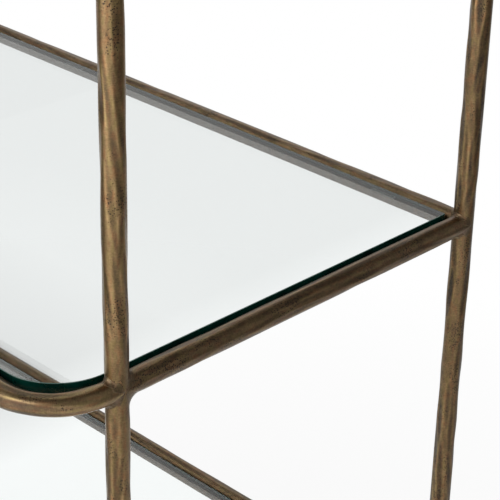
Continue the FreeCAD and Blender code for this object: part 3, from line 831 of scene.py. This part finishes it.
def make_pane(shelf):
    """Closed pane: its outline carried up the edge and over both bevels, between two flat faces."""
    node = "shelf_%d_glass" % shelf
    low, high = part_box(node)
    soft, hair = 0.12 * MM, 0.02 * MM
    levels = [(ARRIS, low.z), (ARRIS - soft, low.z + hair), (soft, low.z + ARRIS - soft),
              (0.0, low.z + ARRIS), (0.0, high.z - ARRIS), (soft, high.z - ARRIS + soft),
              (ARRIS - soft, high.z - hair), (ARRIS, high.z)]
    rings = pane_rings(low, high, levels)
    rows, columns = rings.shape[:2]
    quads, _ = faces_of_grid(rows, columns, 0)
    lids = [list(range(columns))[::-1], list(range((rows - 1) * columns, rows * columns))]
    mesh = bpy.data.meshes.new(node)
    mesh.from_pydata(rings.reshape(-1, 3).tolist(), [], quads.tolist() + lids)
    mesh.validate()
    mesh.set_sharp_from_angle(angle=math.radians(24))
    smooth = np.ones(len(mesh.polygons), dtype=bool)
    smooth[-2:] = False
    mesh.polygons.foreach_set("use_smooth", smooth)
    return place_piece("float_glass_%d" % shelf, mesh, "pane_%d" % shelf, "glass", float_glass, node)


for shelf in SHELVES:
    pane = make_pane(shelf)
    edge = make_edge_skin(shelf)
print("pane faces:", len(pane.data.polygons), "edge faces:", len(edge.data.polygons))

# %% [markdown]
# ## Levelling feet
#
# Each foot is a zinc-plated stud held in a black nylon glide. The stud's thread is a real helix: the
# radius drops and rises once per millimetre of height and once per turn.

# %% Threaded studs
PITCH = 1.0 * MM
THREAD_DEPTH = 0.55 * MM
STUD_RADIUS = 3.0 * MM
FLANGE_TOP = 2.5 * MM
RUN_IN = 1.5 * MM
TIP = 0.8 * MM
STUD_COLUMNS = 32
GLIDE_COLUMNS = 64
SHARP = math.radians(40)


def stud_grid(axis, low, high):
    """Flange, shank with a helical thread, bevelled tip.

    The phase is height / PITCH less the turn's share of a circle, so it climbs once round per pitch.
    The thread is a saw of that phase, cut flat at crest and root. It grows in over RUN_IN.
    """
    angle = np.linspace(0, 2 * np.pi, STUD_COLUMNS, endpoint=False)
    heights = np.arange(low + FLANGE_TOP, high - TIP, PITCH / 8)
    phase = (heights[:, None] - low) / PITCH - angle[None, :] / (2 * np.pi)
    saw = np.abs(2 * (phase % 1) - 1)
    depth = THREAD_DEPTH * np.clip((heights - heights[0]) / RUN_IN, 0, 1)[:, None]
    radius = STUD_RADIUS - depth * np.clip(1.25 * saw - 0.12, 0, 1)
    head = np.array([(5.2 * MM, low), (5.5 * MM, low + 0.3 * MM), (5.5 * MM, low + 2.2 * MM),
                     (5.2 * MM, low + FLANGE_TOP)])
    tip = np.array([(2.4 * MM, high - 0.5 * MM), (2.0 * MM, high)])
    all_radius = np.concatenate([np.repeat(head[:, :1], STUD_COLUMNS, 1), radius,
                                 np.repeat(tip[:, :1], STUD_COLUMNS, 1)])
    return turned_grid(all_radius, np.concatenate([head[:, 1], heights, tip[:, 1]]), axis)


low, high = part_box("foot_stud_front_left")
print("stud thread turns %.0f times" % ((high.z - low.z - FLANGE_TOP - TIP) / PITCH))

# %% Glides and feet
# Radius and height in mm, from the underside up and from the top down.
SIDE = BAR_RADIUS / MM
FROM_BELOW = [(1, 0.3), (5.2, 0.3), (5.8, 0), (6.8, 0), (7.45, 0.45), (7.85, 1.0), (SIDE, 1.6), (SIDE, 3.0),
              (7.7, 3.3), (7.7, 4.6), (SIDE, 4.9)]
FROM_ABOVE = [(SIDE, 1.2), (7.8, 0.7), (7.3, 0.2), (6.6, 0), (3.2, 0)]


def glide_grid(axis, low, high):
    """Underside slightly dished, rounded edges, and a shallow grip groove round the side."""
    profile = np.array([(radius * MM, low + height * MM) for radius, height in FROM_BELOW]
                       + [(radius * MM, high - depth * MM) for radius, depth in FROM_ABOVE])
    return turned_grid(np.repeat(profile[:, :1], GLIDE_COLUMNS, axis=1), profile[:, 1], axis)


def make_plain_finish(name, dark, bright, scale, metallic, roughness, bump_depth):
    """Finish with a fine noise in colour, gloss and relief. Roughness is its least and greatest."""
    finish, tree = new_finish(name)
    cloud = add_noise(tree, object_place(tree), scale, 4.0)
    bump = add_node(tree, "Bump", {"Height": cloud, "Strength": 0.5, "Distance": bump_depth})
    colour = add_ramp(tree, cloud, [(0.3, linear(*dark)), (0.7, linear(*bright))])
    add_surface(tree, {
        "Base Color": colour, "Metallic": metallic, "Normal": bump.outputs[0],
        "Roughness": add_range(tree, cloud, 0.3, 0.7, *roughness)})
    return finish


plated_zinc = make_plain_finish("plated_zinc", (176, 178, 176), (206, 208, 204), 900.0, 1.0,
                                (0.28, 0.42), 0.02 * MM)
black_nylon = make_plain_finish("black_nylon", (24, 24, 25), (38, 38, 39), 1400.0, 0.0,
                                (0.42, 0.6), 0.03 * MM)
for corner in POSTS:
    axis = post_axis[corner]
    foot = "foot_" + corner
    low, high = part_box("foot_stud_" + corner)
    stud = mesh_from_grids("foot_stud", [stud_grid(axis, low.z, high.z)])
    stud.set_sharp_from_angle(angle=SHARP)
    place_piece("threaded_stud_" + corner, stud, foot, "stud", plated_zinc, "foot_stud_" + corner)
    low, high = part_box("foot_glide_" + corner)
    glide = mesh_from_grids("foot_glide", [glide_grid(axis, low.z, high.z)])
    glide.set_sharp_from_angle(angle=SHARP)
    place_piece("nylon_glide_" + corner, glide, foot, "glide", black_nylon, "foot_glide_" + corner)
print("stud faces:", len(stud.polygons), "glide faces:", len(glide.polygons))

# %% [markdown]
# ## Studio
#
# Bronze shows little of its own: it shows the room. So the etagere stands on a sheet of white floor in
# a room that is white to the eye. What gloss mirrors is a room with a dark side, which draws the shadow
# line down each post. Walls seen through glass are a little below white, so that a pane stands out. Two
# large soft lamps stand in front, and the panes take no light from them.

# %% White floor
def kinds_of_ray(tree):
    """Four switches: rays from the camera, rays off gloss, rays through glass, and any of the three."""
    path = add_node(tree, "LightPath").outputs
    camera, glossy, through = path["Is Camera Ray"], path["Is Glossy Ray"], path["Is Transmission Ray"]
    seen = add_sum(tree, "MAXIMUM", add_sum(tree, "MAXIMUM", camera, glossy), through)
    mirrored = add_sum(tree, "MAXIMUM", add_sum(tree, "SUBTRACT", glossy, through), 0.0)
    return camera, mirrored, through, seen


FLOOR_HALF = 1.7
FLOOR_WHITE = 0.86


def make_floor():
    """Square sheet that is white to whatever looks at it, and FLOOR_WHITE to the light that falls on it.

    Near the middle a tenth of the look is the lit sheet, which keeps the shadow. Off gloss the sheet is
    dimmed by 0.38, and by more at the left, far right and front left. Through glass it is 0.05 brighter
    than white, and dimmer at the far left.
    """
    finish, tree = new_finish("studio_floor")
    place = object_place(tree)
    reach = add_node(tree, "VectorMath", {0: place}, operation="LENGTH").outputs["Value"]
    white_share = add_range(tree, reach, 0.7, FLOOR_HALF - 0.1, 0.90, 1.0)
    _, mirrored, through, seen = kinds_of_ray(tree)
    side = add_node(tree, "SeparateXYZ", {"Vector": place}).outputs

    def patch(across, deep):
        """A range across the sheet times a range from front to back."""
        return add_sum(tree, "MULTIPLY", add_range(tree, side["X"], *across),
                       add_range(tree, side["Y"], *deep))

    dim = 0.38
    for region, amount in ((patch((-0.3, -0.7), (1.1, 0.7)), 0.28), (patch((-0.6, 0.1), (0.5, 1.2)), 0.22),
                           (patch((0.35, -0.2), (-0.5, -1.2)), 0.28)):
        dim = add_sum(tree, "MULTIPLY_ADD", region, amount, dim)
    dimmed = add_sum(tree, "MULTIPLY", mirrored, dim)
    under_far_pane = patch((-0.62, -0.80), (1.05, 0.70, 0.16, 0.30))
    dimmed = add_sum(tree, "MULTIPLY_ADD", through, under_far_pane, dimmed)
    full = add_sum(tree, "MULTIPLY_ADD", through, 0.05, 1.0)
    matte = add_node(tree, "BsdfDiffuse", {"Color": (FLOOR_WHITE, FLOOR_WHITE, FLOOR_WHITE, 1.0)})
    strength = add_sum(tree, "SUBTRACT", full, dimmed)
    white = add_node(tree, "Emission", {"Color": (1.0, 1.0, 1.0, 1.0), "Strength": strength})
    white_share = add_sum(tree, "MULTIPLY", seen, white_share)
    mix = add_node(tree, "MixShader", {"Fac": white_share, 1: matte.outputs[0], 2: white.outputs[0]})
    add_node(tree, "OutputMaterial", {"Surface": mix.outputs[0]})
    mesh = bpy.data.meshes.new("studio_floor")
    corners = [(x * FLOOR_HALF, y * FLOOR_HALF, 0) for x, y in QUARTERS[2:] + QUARTERS[:2]]
    mesh.from_pydata(corners, [], [(0, 1, 2, 3)])
    mesh.materials.append(finish)
    add_object("studio_floor", mesh)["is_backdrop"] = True


make_floor()
print("floor sheet is %.1f m square" % (2 * FLOOR_HALF))

# %% Lamps
def add_lamp(name, place, target, size, power):
    """Square soft lamp that faces a target."""
    data = bpy.data.lights.new(name, "AREA")
    data.size = size
    data.energy = power
    lamp = add_object(name, data)
    lamp.location = place
    lamp.rotation_euler = (Vector(target) - Vector(place)).to_track_quat("-Z", "Y").to_euler()
    return lamp


def keep_off_glass(lamps):
    """The panes take no light from the lamps, so that no lamp shows in them as a hard white square."""
    panes = bpy.data.collections.new("panes")
    for shelf in SHELVES:
        panes.objects.link(bpy.data.objects["float_glass_%d" % shelf])
    for entry in panes.collection_objects:
        entry.light_linking.link_state = "EXCLUDE"
    for lamp in lamps:
        lamp.light_linking.receiver_collection = panes


key_lamp = add_lamp("key_lamp", (-0.2, -3.2, 1.0), (0.3, 0.0, 0.9), 2.4, 24)
top_lamp = add_lamp("top_lamp", (0.5, -3.0, 1.8), (0.2, 0.0, 0.8), 2.0, 18)
keep_off_glass([key_lamp, top_lamp])
print("lamps:", key_lamp.name, top_lamp.name)

# %% Room with a dark side
# Each lobe: its direction, the cosines where it starts and is full, and what it adds.
FLOOR_LOBES = [((0.42, -0.90, 0.0), 0.35, 0.85, 0.55), ((0.20, 0.98, 0.0), 0.60, 0.90, -0.15),
               ((-0.55, -0.835, 0.0), 0.66, 0.86, -0.44)]
WALL_LOBES = [((0.0, 0.0, 1.0), 0.80, 0.96, -0.14), ((-0.66, 0.45, 0.60), 0.972, 0.992, 0.40),
              ((-0.62, 0.64, 0.456), 0.955, 0.985, 0.45), ((0.0, 0.64, 0.77), 0.76, 0.96, -0.12),
              ((0.0, -0.94, 0.34), 0.84, 0.97, 0.20)]
THROUGH_GLASS = 0.87
REST_LEVEL = 0.42


def make_room():
    """White to the camera, a room with a dark side off gloss, and plain grey to the light.

    Off gloss it is as bright as the floor below the horizon and as the walls above. Each is a range
    over one direction plus its lobes, and a lobe is a range of the cosine to its own direction.
    """
    room, tree = new_finish("studio_room", bpy.data.worlds)
    way = add_node(tree, "TexCoord").outputs["Generated"]

    def facing(*direction):
        """Cosine between a ray and a direction."""
        node = add_node(tree, "VectorMath", {0: way, 1: direction}, operation="DOT_PRODUCT")
        return node.outputs["Value"]

    floor = add_range(tree, facing(0.87, 0.50, 0.0), 0.54, 0.86, 0.60, 0.20)
    for direction, start, full, change in FLOOR_LOBES:
        floor = add_sum(tree, "ADD", floor, add_range(tree, facing(*direction), start, full, 0.0, change))
    walls = add_range(tree, facing(-1.0, 0.0, 0.0), 0.35, 0.65, 0.24, 0.36)
    for direction, start, full, change in WALL_LOBES:
        walls = add_sum(tree, "ADD", walls, add_range(tree, facing(*direction), start, full, 0.0, change))
    below = add_range(tree, facing(0.0, 0.0, -1.0), -0.08, 0.24)
    floor = add_sum(tree, "MULTIPLY", floor, below)
    walls = add_sum(tree, "MULTIPLY_ADD", walls, add_sum(tree, "SUBTRACT", 1.0, below), floor)
    camera, mirrored, through, seen = kinds_of_ray(tree)
    plain = add_sum(tree, "MAXIMUM", camera, add_sum(tree, "MULTIPLY", through, THROUGH_GLASS))
    level = add_sum(tree, "MULTIPLY_ADD", mirrored, walls, plain)
    level = add_sum(tree, "MULTIPLY_ADD", add_sum(tree, "SUBTRACT", 1.0, seen), REST_LEVEL, level)
    background = add_node(tree, "Background", {"Color": (1.0, 1.0, 1.0, 1.0), "Strength": level})
    add_node(tree, "OutputWorld", {"Surface": background.outputs[0]})
    return room


scene.world = make_room()
scene.view_settings.view_transform = "Standard"
print("view:", scene.view_settings.view_transform)

# %% [markdown]
# ## Camera
#
# A long lens looks down at the right front corner of the middle shelf. The camera's axes come from its
# heading, its dip below the horizon and a slight roll.

# %% Camera
def camera_matrix(place, heading, dip, roll):
    """Camera axes: forward from heading and dip, right level with the floor, both then rolled."""
    level = math.cos(dip)
    forward = Vector((-math.sin(heading) * level, math.cos(heading) * level, -math.sin(dip)))
    right = forward.cross(Vector((0, 0, 1))).normalized()
    up = right.cross(forward)
    turned_right = math.cos(roll) * right + math.sin(roll) * up
    turned_up = math.cos(roll) * up - math.sin(roll) * right
    turned = Matrix((turned_right, turned_up, -forward)).transposed().to_4x4()
    return Matrix.Translation(place) @ turned


lens = bpy.data.cameras.new("camera")
lens.lens = 125.04
lens.sensor_width = 36.0
lens.clip_start = 0.05
camera = add_object("camera", lens)
camera.matrix_world = camera_matrix(Vector((1.17296, -0.77618, 1.49935)), 0.7695, 0.4696, 0.0227)
scene.camera = camera
print("camera at", [round(v, 3) for v in camera.location])

# %% Box of the finished model
low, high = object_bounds()
